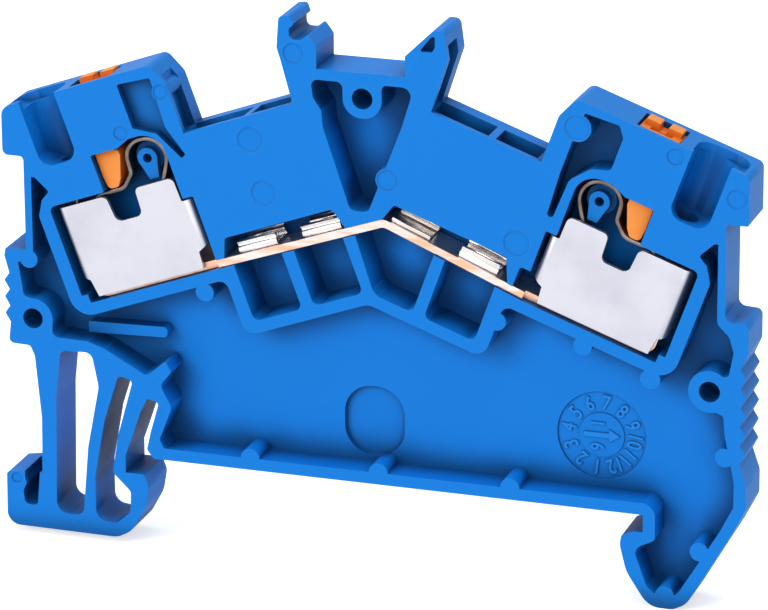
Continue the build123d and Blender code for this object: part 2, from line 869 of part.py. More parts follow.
# Clamp cage: one sheet folded into a sleeve, open at the top and the bottom
with BuildPart() as right_cage:
    sleeve_x, sleeve_z = leaned(1, (cage_inner + cage_outer) / 2, cage_bottom)
    sleeve_plane = Plane(
        origin=(sleeve_x, body_width / 2 - core_height, sleeve_z),
        x_dir=(cosine, 0, -sine),
        z_dir=(sine, 0, cosine),
    )
    with BuildSketch(sleeve_plane):
        RectangleRounded(cage_outer - cage_inner, cage_width, cage_bend)
        RectangleRounded(
            cage_outer - cage_inner - 2 * cage_sheet,
            cage_width - 2 * cage_sheet,
            cage_bend - cage_sheet,
            mode=Mode.SUBTRACT,
        )
    extrude(amount=cage_shoulder - cage_bottom + cut_overshoot)
    # The top edge with its step and the mouth for the button, then the trimmed lower corners
    with BuildSketch(clamp_plane(-cut_overshoot)):
        with BuildLine():
            FilletPolyline(
                (cage_outer + 1, 1),
                (cage_outer + 1, cage_shoulder),
                (mouth_outer, cage_shoulder),
                (mouth_outer - 0.15, mouth_floor),
                (mouth_inner + 0.1, mouth_floor),
                (mouth_inner, cage_shoulder),
                (cage_step_edge, cage_shoulder),
                (cage_step_edge - 0.05, cage_step),
                (cage_inner - 1, cage_step),
                (cage_inner - 1, 1),
                radius=[0, 0, 0.45, 0.5, 0.45, 0.35, 0.4, 0.1, 0, 0],
                close=True,
            )
        make_face()
        with BuildLine():
            Polyline(
                (cage_inner - 1, cage_bottom + 1.5),
                (cage_inner, cage_bottom + 1.5),
                (-1.4, cage_bottom + 1.15),
                (-1.2, cage_bottom - 1),
                (cage_inner - 1, cage_bottom - 1),
                close=True,
            )
        make_face()
        with BuildLine():
            Polyline(
                (cage_outer + 1, cage_bottom + 1.4),
                (cage_outer, cage_bottom + 1.4),
                (cage_outer - 0.5, cage_bottom + 1.2),
                (cage_outer - 0.7, cage_bottom - 0.1),
                (cage_outer + 1, cage_bottom - 0.1),
                close=True,
            )
        make_face()
    extrude(amount=body_width + 2 * cut_overshoot, mode=Mode.SUBTRACT)
    # The sheet at the back ends lower down, so that it doesn't show in the mouth
    with BuildSketch(clamp_plane(-cut_overshoot)):
        with BuildLine():
            Polyline(
                (cage_inner + cage_bend, 1),
                (cage_inner + cage_bend, cage_back_top),
                (cage_outer - cage_bend, cage_back_top),
                (cage_outer - cage_bend, 1),
                close=True,
            )
        make_face()
    extrude(amount=core_height + cut_overshoot, mode=Mode.SUBTRACT)

# Clamp spring: one strip that lies on the bar, loops round the post and presses outwards.
# Its inner leg leaves the loop on a slant that touches the circle round the post.
with BuildPart() as right_spring:
    slant = math.radians(spring_leg_slant)
    touch_u = -spring_radius * math.sin(slant)
    touch_v = -spring_radius * math.cos(slant)
    knee_v = touch_v - (spring_leg - touch_u) * math.tan(slant)
    shoulder_u = touch_u - (spring_radius - touch_v) / math.tan(slant)
    with BuildSketch(clamp_plane(core_height - spring_width / 2)):
        with BuildLine() as strip:
            FilletPolyline(
                (1.6, bar_top + spring_clearance),
                (spring_leg, bar_top + spring_clearance),
                (spring_leg, knee_v),
                (shoulder_u, spring_radius),
                (spring_radius, spring_radius),
                (1.47, -0.7),
                (2.3, spring_rest),
                (spring_knee, spring_rest),
                (contact_face - spring_clearance - 0.05, -4.4),
                radius=[0.4, 0.6, spring_radius - 0.01, spring_radius - 0.1, 0.5, 0.8, 0.8],
            )
        trace(strip.line, line_width=spring_sheet)
    extrude(amount=spring_width)

# Push button: head with driver slots, stem and the wedge that spreads the spring
with BuildPart() as right_button:
    button_floor = deep_floor + button_clearance
    with BuildSketch(clamp_plane(button_floor)):
        with BuildLine():
            FilletPolyline(
                (head_inner, head_ledge),
                (head_inner, head_bottom),
                (stem_inner, head_bottom),
                (stem_inner, wedge_top),
                (wedge_inner + 0.1, wedge_top),
                (wedge_inner + 0.05, 0.7),
                (2.25, -0.8),
                (2.6, wedge_tip),
                (3.3, wedge_tip),
                (wedge_outer, -0.4),
                (wedge_outer, wedge_top),
                (head_outer, wedge_top),
                (head_outer, head_ledge),
                radius=[0, 0.2, 0.2, 0, 0.15, 0.2, 0.3, 0.25, 0.35, 0.2, 0, 0, 0.1],
                close=True,
            )
        make_face()
    extrude(amount=button_thickness)
    with BuildSketch(clamp_plane(button_floor)):
        half = (head_outer - head_inner - driver_slot) / 2
        for start in (head_inner + 0.15, head_outer - half + 0.05):
            with BuildLine():
                FilletPolyline(
                    (start, head_ledge - 0.1),
                    (start, head_top),
                    (start + half - 0.2, head_top),
                    (start + half - 0.2, head_ledge - 0.1),
                    radius=[0, 0.12, 0.12, 0],
                    close=True,
                )
            make_face()
    extrude(amount=bump_thickness)
    with BuildSketch(clamp_plane(button_floor + bump_thickness)):
        with Locations(((head_inner + head_outer) / 2, head_ledge)):
            Rectangle(1.5, 2 * driver_slot)
    extrude(amount=driver_slot, mode=Mode.SUBTRACT)
    with BuildSketch(clamp_plane(button_floor - cut_overshoot)):
        with Locations(((head_inner + head_outer) / 2, head_top)):
            Rectangle(driver_slot, 2.2 * driver_slot)
    extrude(amount=cut_overshoot + bump_thickness + driver_slot, mode=Mode.SUBTRACT)


def clip_fold(side, start, open_front=False):
    """The folded strip of a bridge clip, seen along the bar, with or without its front leaf."""
    near_x, near_z, _ = on_bar(side, start)
    far_x, far_z, _ = on_bar(side, start + clip_length)
    plane = Plane(
        origin=(far_x, body_width / 2 - core_height, far_z),
        x_dir=(0, side, 0),
        z_dir=(near_x - far_x, 0, near_z - far_z),
    )
    half = clip_width / 2
    low = clip_sheet / 2
    back_leaf = [
        (half * side, clip_height, 0),
        (half * side - clip_crease * side, clip_height * 0.68, 0.1),
        (half * side, clip_height * 0.42, 0.1),
        (half * side, low, 0.12),
    ]
    if open_front:
        front_leaf = [(-half * side, low, 0.12), (-half * side, clip_lip, 0)]
    else:
        front_leaf = [(-y, z, radius) for y, z, radius in back_leaf[::-1]]
    corners = back_leaf + front_leaf
    with BuildSketch(plane) as strip_end:
        with BuildLine() as fold:
            FilletPolyline(
                [(y, z) for y, z, _ in corners],
                radius=[radius for _, _, radius in corners[1:-1]],
            )
        trace(fold.line, line_width=clip_sheet)
    return strip_end.sketch


with BuildPart() as left_cage:
    mirror(right_cage.part, about=Plane.YZ)
with BuildPart() as left_spring:
    mirror(right_spring.part, about=Plane.YZ)
with BuildPart() as left_button:
    mirror(right_button.part, about=Plane.YZ)
with BuildPart() as bridge_clip_left_outer:
    extrude(clip_fold(-1, left_outer_clip), amount=clip_length)
with BuildPart() as bridge_clip_left_inner:
    extrude(clip_fold(-1, left_inner_clip), amount=clip_length)
with BuildPart() as bridge_clip_right_inner:
    extrude(clip_fold(1, right_inner_clip, open_front=True), amount=clip_length)
with BuildPart() as bridge_clip_right_outer:
    extrude(clip_fold(1, right_outer_clip), amount=clip_length)

housing.part.label = "housing"
current_bar.part.label = "current_bar"
left_cage.part.label = "left_cage"
right_cage.part.label = "right_cage"
left_spring.part.label = "left_spring"
right_spring.part.label = "right_spring"
left_button.part.label = "left_button"
right_button.part.label = "right_button"
bridge_clip_left_outer.part.label = "bridge_clip_left_outer"
bridge_clip_left_inner.part.label = "bridge_clip_left_inner"
bridge_clip_right_inner.part.label = "bridge_clip_right_inner"
bridge_clip_right_outer.part.label = "bridge_clip_right_outer"

os.makedirs("parts", exist_ok=True)
for piece in (
    housing,
    current_bar,
    left_cage,
    right_cage,
    left_spring,
    right_spring,
    left_button,
    right_button,
    bridge_clip_left_outer,
    bridge_clip_left_inner,
    bridge_clip_right_inner,
    bridge_clip_right_outer,
):
    export_step(piece.part, f"parts/{piece.part.label}.step")
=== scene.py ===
"""Looks of a slim feed-through terminal block: finishes, clamp springs, mould marks and studio."""

from __future__ import annotations

import json
import logging
import math
from dataclasses import dataclass, field
from enum import Enum

import bmesh
import bpy
from mathutils import Matrix, Vector

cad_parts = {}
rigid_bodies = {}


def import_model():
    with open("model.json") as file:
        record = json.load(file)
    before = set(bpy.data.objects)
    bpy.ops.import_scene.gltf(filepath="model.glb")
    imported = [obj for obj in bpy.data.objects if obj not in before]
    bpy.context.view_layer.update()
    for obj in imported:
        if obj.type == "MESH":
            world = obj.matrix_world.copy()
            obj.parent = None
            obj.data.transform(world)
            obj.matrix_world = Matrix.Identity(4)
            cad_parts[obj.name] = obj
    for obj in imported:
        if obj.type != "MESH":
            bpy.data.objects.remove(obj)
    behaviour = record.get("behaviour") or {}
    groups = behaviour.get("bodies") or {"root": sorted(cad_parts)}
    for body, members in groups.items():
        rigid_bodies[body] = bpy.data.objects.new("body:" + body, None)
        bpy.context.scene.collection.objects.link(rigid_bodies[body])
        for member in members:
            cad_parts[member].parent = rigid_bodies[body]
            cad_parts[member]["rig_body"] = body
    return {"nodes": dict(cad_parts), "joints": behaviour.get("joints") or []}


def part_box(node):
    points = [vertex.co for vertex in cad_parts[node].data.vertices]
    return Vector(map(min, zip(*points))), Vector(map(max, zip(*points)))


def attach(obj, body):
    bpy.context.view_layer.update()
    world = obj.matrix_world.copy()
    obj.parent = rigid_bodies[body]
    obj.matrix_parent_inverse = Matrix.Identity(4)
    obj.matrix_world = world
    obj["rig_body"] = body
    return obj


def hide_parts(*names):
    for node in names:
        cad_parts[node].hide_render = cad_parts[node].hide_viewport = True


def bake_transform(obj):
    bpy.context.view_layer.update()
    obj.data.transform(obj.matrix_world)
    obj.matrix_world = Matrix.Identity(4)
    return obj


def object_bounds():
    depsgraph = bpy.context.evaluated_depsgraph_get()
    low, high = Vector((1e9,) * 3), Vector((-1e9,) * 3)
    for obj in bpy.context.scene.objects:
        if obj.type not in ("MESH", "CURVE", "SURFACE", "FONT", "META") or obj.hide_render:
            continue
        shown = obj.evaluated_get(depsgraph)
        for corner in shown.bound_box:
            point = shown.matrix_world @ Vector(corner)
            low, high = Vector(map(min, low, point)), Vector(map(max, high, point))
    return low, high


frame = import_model()
MODEL_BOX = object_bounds()

LOG = logging.getLogger("terminal_block")
MM = 0.001
BACK = Vector((0.0, 1.0, 0.0))

# Corners of a CAD mesh that lie closer than this are one corner
MERGE = 0.0005 * MM

Socket = bpy.types.NodeSocket
Colour = tuple[float, float, float]
Span = tuple[float, float]
Spot = tuple[float, float]
Corner = tuple[float, float, float]


class Side(Enum):
    """The two ends of the block, with the sign of their X."""

    LEFT = -1
    RIGHT = 1

    @property
    def word(self) -> str:
        """The side's name as the nodes and bodies spell it."""
        return self.name.lower()


@dataclass(frozen=True)
class ClampFrame:
    """The leaning directions of one spring clamp, read from its button's joint and its spring.

    Attributes:
        side: Which end of the block the clamp is at.
        loop_radius: Radius of the spring's loop at the middle of the strip, in metres.
        sheet: Thickness of the spring's strip, in metres.
    """

    side: Side
    loop_radius: float = 1.31 * MM
    sheet: float = 0.28 * MM

    @property
    def up(self) -> Vector:
        """Read the direction in which the button comes back out.

        Returns:
            The direction, with a length of 1.
        """
        name = f"{self.side.word}_button_press"
        joint = next(entry for entry in frame["joints"] if entry["name"] == name)
        return -Vector(joint["axis"])

    @property
    def out(self) -> Vector:
        """The direction away from the middle of the block, square to the button's travel."""
        return Vector((self.side.value * self.up.z, 0.0, -abs(self.up.x)))

    @property
    def post(self) -> Vector:
        """Find the centre of the spring's loop, at the middle of the strip's width.

        Returns:
            The centre in the model's own frame, in metres.
        """
        mesh = frame["nodes"][f"{self.side.word}_spring"].data
        points = [vertex.co for vertex in mesh.vertices]
        reach = self.loop_radius + self.sheet / 2
        along = min(point.dot(self.out) for point in points) + reach
        height = max(point.dot(self.up) for point in points) - reach
        depth = (min(point.y for point in points) + max(point.y for point in points)) / 2
        return self.out * along + self.up * height + BACK * depth

    def point(self, along: float, height: float) -> Vector:
        """Place a point given in millimetres from the loop's centre.

        Args:
            along: Distance outwards and down, square to the button's travel.
            height: Distance up, along the button's travel.

        Returns:
            The point in the model's own frame, in metres.
        """
        return self.post + self.out * (along * MM) + self.up * (height * MM)


class Nodes:
    """A material's node tree, with short calls that add nodes and join them."""

    def __init__(self, name: str) -> None:
        """Start an empty material tree that ends in one principled shader.

        Args:
            name: The material's name.
        """
        self.material = bpy.data.materials.new(name)
        self.material.use_nodes = True
        self.tree = self.material.node_tree
        self.shader = self.tree.nodes["Principled BSDF"]

    def add(self, kind: str, **values: object) -> bpy.types.Node:
        """Add a node.

        Args:
            kind: The node's type.
            values: Settings of the node, or values of its inputs with _ for a space.

        Returns:
            The new node.
        """
        node = self.tree.nodes.new(kind)
        for key, value in values.items():
            if hasattr(node, key):
                setattr(node, key, value)
            else:
                node.inputs[key.replace("_", " ")].default_value = value
        return node

    def join(self, source: Socket, target: Socket) -> None:
        """Link an output to an input."""
        self.tree.links.new(source, target)

    def place(self) -> Socket:
        """The point on the piece, in its own frame."""
        return self.add("ShaderNodeTexCoord").outputs["Object"]

    def noise(self, scale: float, detail: float = 3.0, stretch: tuple = (1, 1, 1)) -> Socket:
        """A soft random pattern.

        Args:
            scale: How many blotches fit in a metre.
            detail: How many finer layers it has.
            stretch: How much denser it is along each axis.

        Returns:
            The pattern's value.
        """
        mapping = self.add("ShaderNodeMapping")
        mapping.inputs["Scale"].default_value = stretch
        self.join(self.place(), mapping.inputs["Vector"])
        noise = self.add("ShaderNodeTexNoise", Scale=scale, Detail=detail)
        self.join(mapping.outputs["Vector"], noise.inputs["Vector"])
        return noise.outputs["Fac"]

    def ramp(self, source: Socket, low: float, high: float) -> Socket:
        """Turn a value into a soft step.

        Args:
            source: The value.
            low: The value up to which the step is 0.
            high: The value from which the step is 1.

        Returns:
            The step's value.
        """
        node = self.add("ShaderNodeMapRange", interpolation_type="SMOOTHSTEP")
        node.inputs["From Min"].default_value = low
        node.inputs["From Max"].default_value = high
        self.join(source, node.inputs["Value"])
        return node.outputs["Result"]

    def span(self, source: Socket, start: float, end: float) -> Socket:
        """Turn a value from 0 to 1 into one from start to end.

        Args:
            source: The value from 0 to 1.
            start: What 0 becomes.
            end: What 1 becomes.

        Returns:
            The new value.
        """
        node = self.add("ShaderNodeMapRange")
        node.inputs["To Min"].default_value = start
        node.inputs["To Max"].default_value = end
        self.join(source, node.inputs["Value"])
        return node.outputs["Result"]

    def mix(self, share: Socket, first: object, second: object) -> Socket:
        """Mix two colours, each a value or a socket.

        Args:
            share: How much of the second colour there is.
            first: The colour where the share is 0.
            second: The colour where the share is 1.

        Returns:
            The mixed colour.
        """
        node = self.add("ShaderNodeMix", data_type="RGBA")
        self.join(share, node.inputs["Factor"])
        for name, value in (("A", first), ("B", second)):
            socket = next(s for s in node.inputs if s.name == name and s.type == "RGBA")
            if isinstance(value, Socket):
                self.join(value, socket)
            else:
                socket.default_value = (*value, 1.0)
        return next(s for s in node.outputs if s.type == "RGBA")

    def sum(self, operation: str, first: object, second: object) -> Socket:
        """Work a sum out from two values or sockets.

        Args:
            operation: The sum, as the math node names it.
            first: Its first value or socket.
            second: Its second value or socket.

        Returns:
            The result.
        """
        node = self.add("ShaderNodeMath", operation=operation)
        for socket, value in zip(node.inputs, (first, second)):
            if isinstance(value, Socket):
                self.join(value, socket)
            else:
                socket.default_value = value
        return node.outputs["Value"]

    def coat(self, colour: Socket, patches: Socket, roughness: Span, metal: float) -> None:
        """Give the shader its colour and its patches of roughness.

        Args:
            colour: The colour.
            patches: The pattern of the patches, from 0 to 1.
            roughness: The roughness where the pattern is 0, and where it is 1.
            metal: 1 for a metal, 0 for a plastic.
        """
        inputs = self.shader.inputs
        self.join(colour, inputs["Base Color"])
        self.join(self.span(patches, *roughness), inputs["Roughness"])
        inputs["Metallic"].default_value = metal

    def bump(self, height: Socket, depth: float, strength: float) -> None:
        """Raise the surface by a pattern.

        Args:
            height: The pattern.
            depth: How high it rises at most, in metres.
            strength: How much of it shows, up to 1.
        """
        node = self.add("ShaderNodeBump", Distance=depth, Strength=strength)
        self.join(height, node.inputs["Height"])
        self.join(node.outputs["Normal"], self.shader.inputs["Normal"])


@dataclass(frozen=True)
class MouldedPlastic:
    """A smooth moulded plastic with a faint spark-eroded grain, and painted shade that darkens its colour
    in its hollows.

    Attributes:
        name: The material's name.
        colour: The colour of the open faces.
        hollow: The darker colour painted as shade deep in pockets and corners.
        reach: How far from a wall the painted shade starts to darken the colour, in metres.
        roughness: The lowest and the highest roughness.
        shine: How strongly the surface mirrors, where 0.5 is common plastic.
        openness: How open a place is where the painted shade is darkest, and where there is none.
        flow: The faint clouds in that openness, lowest and highest.
        flow_scale: How many of those clouds fit in a metre.
        patch_scale: How many patches of another roughness fit in a metre.
        grain_scale: How many grains fit in a metre.
        grain_depth: The depth of the grain, in metres.
    """

    name: str
    colour: Colour
    hollow: Colour
    reach: float = 2.4 * MM
    roughness: Span = (0.42, 0.54)
    shine: float = 0.14
    openness: Span = (0.42, 0.98)
    flow: Span = (0.94, 1.0)
    flow_scale: float = 160.0
    patch_scale: float = 420.0
    grain_scale: float = 9000.0
    grain_depth: float = 0.006 * MM

    def build(self) -> bpy.types.Material:
        """Make the material.

        Returns:
            The material.
        """
        nodes = Nodes(self.name)
        clouds = nodes.ramp(nodes.noise(self.flow_scale, 2, (1, 1, 0.5)), low=0.3, high=0.75)
        flow = nodes.span(clouds, *self.flow)
        # Painted shade: ambient occlusion mixes the colour towards the darker shade colour near walls, in
        # pockets and corners.
        sky = nodes.add("ShaderNodeAmbientOcclusion", Distance=self.reach, samples=12)
        openness = nodes.ramp(nodes.sum("MULTIPLY", sky.outputs["AO"], flow), *self.openness)
        colour = nodes.mix(openness, self.hollow, self.colour)
        nodes.coat(colour, nodes.noise(self.patch_scale, 4), self.roughness, metal=0.0)
        nodes.bump(nodes.noise(self.grain_scale, 3), self.grain_depth, strength=0.35)
        nodes.shader.inputs["Specular IOR Level"].default_value = self.shine
        return nodes.material


@dataclass(frozen=True)
class TinnedSheet:
    """Tin plated sheet: pale and a little cloudy, with faint rolling streaks or small dents.

    Attributes:
        name: The material's name.
        colour: The colour of the clear plating.
        cloud: The colour of its clouds.
        roughness: The lowest and the highest roughness.
        cloud_scale: How many clouds fit in a metre.
        patch_scale: How many dents, or patches of another roughness, fit in a metre.
        streak_scale: How many rolling streaks fit in a metre.
        streak_depth: The depth of the streaks, in metres.
        dents: The depth of the dents of a crumpled sheet, in metres, or 0 for a flat one.
    """

    name: str
    colour: Colour = (0.61, 0.61, 0.67)
    cloud: Colour = (0.53, 0.53, 0.6)
    roughness: Span = (0.36, 0.5)
    cloud_scale: float = 330.0
    patch_scale: float = 700.0
    streak_scale: float = 1500.0
    streak_depth: float = 0.004 * MM
    dents: float = 0.0

    def build(self) -> bpy.types.Material:
        """Make the material.

        Returns:
            The material.
        """
        nodes = Nodes(self.name)
        clouds = nodes.ramp(nodes.noise(self.cloud_scale, 4), low=0.35, high=0.8)
        colour = nodes.mix(clouds, self.colour, self.cloud)
        nodes.coat(colour, nodes.noise(self.patch_scale, 3), self.roughness, metal=1.0)
        if self.dents:
            nodes.bump(nodes.noise(self.patch_scale, 1), self.dents, strength=0.7)
        else:
            streaks = nodes.noise(self.streak_scale, 4, (0.35, 1, 3))
            nodes.bump(streaks, self.streak_depth, strength=0.3)
        return nodes.material


@dataclass(frozen=True)
class SpringSteel:
    """Hard rolled spring strip, brownish grey and fairly bright.

    Attributes:
        name: The material's name.
        colour: The darker of its two tints.
        pale: The paler one.
        roughness: The lowest and the highest roughness.
        tint_scale: How many changes of tint fit in a metre.
        patch_scale: How many patches of another roughness fit in a metre.
        line_scale: How many rolling lines fit in a metre.
        line_depth: The depth of those lines, in metres.
    """

    name: str
    colour: Colour = (0.15, 0.12, 0.11)
    pale: Colour = (0.26, 0.22, 0.2)
    roughness: Span = (0.26, 0.4)
    tint_scale: float = 900.0
    patch_scale: float = 1600.0
    line_scale: float = 5000.0
    line_depth: float = 0.003 * MM

    def build(self) -> bpy.types.Material:
        """Make the material.

        Returns:
            The material.
        """
        nodes = Nodes(self.name)
        tint = nodes.ramp(nodes.noise(self.tint_scale, 3), low=0.35, high=0.75)
        colour = nodes.mix(tint, self.colour, self.pale)
        nodes.coat(colour, nodes.noise(self.patch_scale, 3), self.roughness, metal=1.0)
        nodes.bump(nodes.noise(self.line_scale, 2, (1, 0.1, 1)), self.line_depth, strength=0.3)
        return nodes.material


@dataclass(frozen=True)
class TinnedCopper:
    """Copper strip that was tinned before it was cut, so its sheared edges show bare copper.

    Attributes:
        name: The material's name.
        tin: The colour of the plated faces.
        copper: The colour of the sheared edges.
        smear: The colour of the edges where tin was smeared over them.
        cut_turn: How far a face turns to the front where it starts to be sheared, and is fully.
        roughness: The lowest and the highest roughness.
        smear_scale: How many smears fit in a metre.
        patch_scale: How many patches of another roughness fit in a metre.
        line_scale: How many rolling lines fit in a metre.
        line_depth: The depth of those lines, in metres.
    """

    name: str
    tin: Colour = (0.82, 0.79, 0.79)
    copper: Colour = (0.86, 0.50, 0.33)
    smear: Colour = (0.86, 0.74, 0.70)
    cut_turn: Span = (0.6, 0.9)
    roughness: Span = (0.24, 0.42)
    smear_scale: float = 800.0
    patch_scale: float = 900.0
    line_scale: float = 4000.0
    line_depth: float = 0.004 * MM

    def build(self) -> bpy.types.Material:
        """Make the material.

        Returns:
            The material.
        """
        nodes = Nodes(self.name)
        normal = nodes.add("ShaderNodeSeparateXYZ")
        nodes.join(nodes.add("ShaderNodeTexCoord").outputs["Normal"], normal.inputs["Vector"])
        sheared = nodes.ramp(nodes.sum("ABSOLUTE", normal.outputs["Y"], 0.0), *self.cut_turn)
        smears = nodes.ramp(nodes.noise(self.smear_scale, 4, (0.3, 1, 2.5)), low=0.42, high=0.62)
        cut = nodes.mix(smears, self.copper, self.smear)
        colour = nodes.mix(sheared, self.tin, cut)
        nodes.coat(colour, nodes.noise(self.patch_scale, 3), self.roughness, metal=1.0)
        nodes.bump(nodes.noise(self.line_scale, 3, (0.2, 1, 1)), self.line_depth, strength=0.35)
        return nodes.material


def box_of(points: list[Vector]) -> tuple[Vector, Vector]:
    """Find the box round some points.

    Args:
        points: The points.

    Returns:
        The box's lowest and highest corner.
    """
    low = Vector(min(point[axis] for point in points) for axis in range(3))
    high = Vector(max(point[axis] for point in points) for axis in range(3))
    return low, high


def mesh_of(shape: bmesh.types.BMesh, name: str) -> bpy.types.Mesh:
    """Turn a worked shape into a mesh and free it.

    Args:
        shape: The shape.
        name: The mesh's name.

    Returns:
        The mesh.
    """
    mesh = bpy.data.meshes.new(name)
    shape.to_mesh(mesh)
    shape.free()
    return mesh


def new_piece(name: str, mesh: bpy.types.Mesh) -> bpy.types.Object:
    """Put a mesh in the scene as a piece of its own.

    Args:
        name: The piece's name.
        mesh: Its finished mesh, in the model's frame.

    Returns:
        The piece.
    """
    piece = bpy.data.objects.new(name, mesh)
    bpy.context.scene.collection.objects.link(piece)
    return piece


def report(piece: bpy.types.Object) -> None:
    """Log a piece's name and how many faces it has."""
    LOG.info("%s: %d faces", piece.name, len(piece.data.polygons))


def settled(piece: bpy.types.Object) -> bpy.types.Object:
    """Turn a piece's modifiers into plain mesh.

    Args:
        piece: The piece with its live modifiers.

    Returns:
        The same piece, with the result as its mesh and no modifier left.
    """
    graph = bpy.context.evaluated_depsgraph_get()
    mesh = bpy.data.meshes.new_from_object(piece.evaluated_get(graph))
    piece.modifiers.clear()
    piece.data = mesh
    return piece


def dress(piece: bpy.types.Object, *materials: bpy.types.Material) -> None:
    """Give a piece its materials, in place of any that it has.

    Args:
        piece: The piece.
        materials: The finish of its faces, and one for its rounded edges where that differs, such as a
            paler colour painted there as a highlight.
    """
    piece.data.materials.clear()
    for material in materials:
        piece.data.materials.append(material)


@dataclass(frozen=True)
class SoftEdges:
    """Rounds the sharp edges of a copy of a CAD node, as a mould or a press leaves them.

    Attributes:
        width: How far the rounding reaches from the edge, in metres.
        segments: How many facets it has.
        flat_angle: Faces that meet at less than this are one flat face.
        edge_angle: Faces that meet at more than this have an edge to round.
        smooth_angle: Faces that meet at less than this, once rounded, are shaded as one.
    """

    width: float
    segments: int = 2
    flat_angle: float = math.radians(0.7)
    edge_angle: float = math.radians(32)
    smooth_angle: float = math.radians(28)

    def copy(self, node: str, name: str, *materials: bpy.types.Material) -> bpy.types.Object:
        """Copy a CAD node, round its edges and dress it.

        Args:
            node: The CAD node's name.
            name: The new piece's name.
            materials: The finish of its faces, and one for its edges where that differs, such as a paler
                colour painted there as a highlight.

        Returns:
            The new piece, which replaces the node and rides on its body.
        """
        shape = bmesh.new()
        shape.from_mesh(frame["nodes"][node].data)
        bmesh.ops.remove_doubles(shape, verts=shape.verts, dist=MERGE)
        bmesh.ops.dissolve_limit(
            shape, angle_limit=self.flat_angle, verts=shape.verts, edges=shape.edges
        )
        piece = new_piece(name, mesh_of(shape, name))
        dress(piece, *materials)
        bevel = piece.modifiers.new("soft edges", "BEVEL")
        # The rounded edges take the last material; on the housing it is a paler blue painted as an edge
        # highlight.
        bevel.material = len(materials) - 1
        bevel.width = self.width
        bevel.segments = self.segments
        bevel.limit_method = "ANGLE"
        bevel.angle_limit = self.edge_angle
        bevel.use_clamp_overlap = True
        bevel.miter_outer = "MITER_ARC"
        settled(piece)
        shade(piece, self.smooth_angle)
        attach(piece, frame["nodes"][node]["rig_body"])
        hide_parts(node)
        return piece


def shade(piece: bpy.types.Object, angle: float) -> None:
    """Shade a piece smoothly, apart from edges sharper than an angle.

    Args:
        piece: The piece.
        angle: The sharpest angle that still looks round, in radians.
    """
    mesh = piece.data
    mesh.polygons.foreach_set("use_smooth", [True] * len(mesh.polygons))
    mesh.set_sharp_from_angle(angle=angle)
    weight = piece.modifiers.new("flat faces stay flat", "WEIGHTED_NORMAL")
    weight.keep_sharp = True
    weight.weight = 80
    settled(piece)


def rounded_path(corners: list[Corner], step: float) -> list[Spot]:
    """Round the corners of an open path.

    Args:
        corners: The corners as (along, height, radius).
        step: Greatest angle between neighbouring points of an arc, in radians.

    Returns:
        The points of the path.
    """
    points = [corners[0][:2]]
    for before, (x, y, radius), after in zip(corners, corners[1:], corners[2:]):
        corner = Vector((x, y))
        to_before = (Vector(before[:2]) - corner).normalized()
        to_after = (Vector(after[:2]) - corner).normalized()
        turn = math.pi - to_before.angle(to_after)
        if radius <= 0 or turn < step:
            points.append((x, y))
            continue
        reach = radius * math.tan(turn / 2)
        middle = corner + (to_before + to_after).normalized() * (radius / math.cos(turn / 2))
        start = corner + to_before * reach - middle
        sign = -1.0 if to_before.cross(to_after) > 0 else 1.0
        count = max(2, math.ceil(turn / step))
        for index in range(count + 1):
            spoke = start.copy()
            spoke.rotate(Matrix.Rotation(sign * turn * index / count, 2))
            points.append(tuple(middle + spoke))
    points.append(corners[-1][:2])
    return points


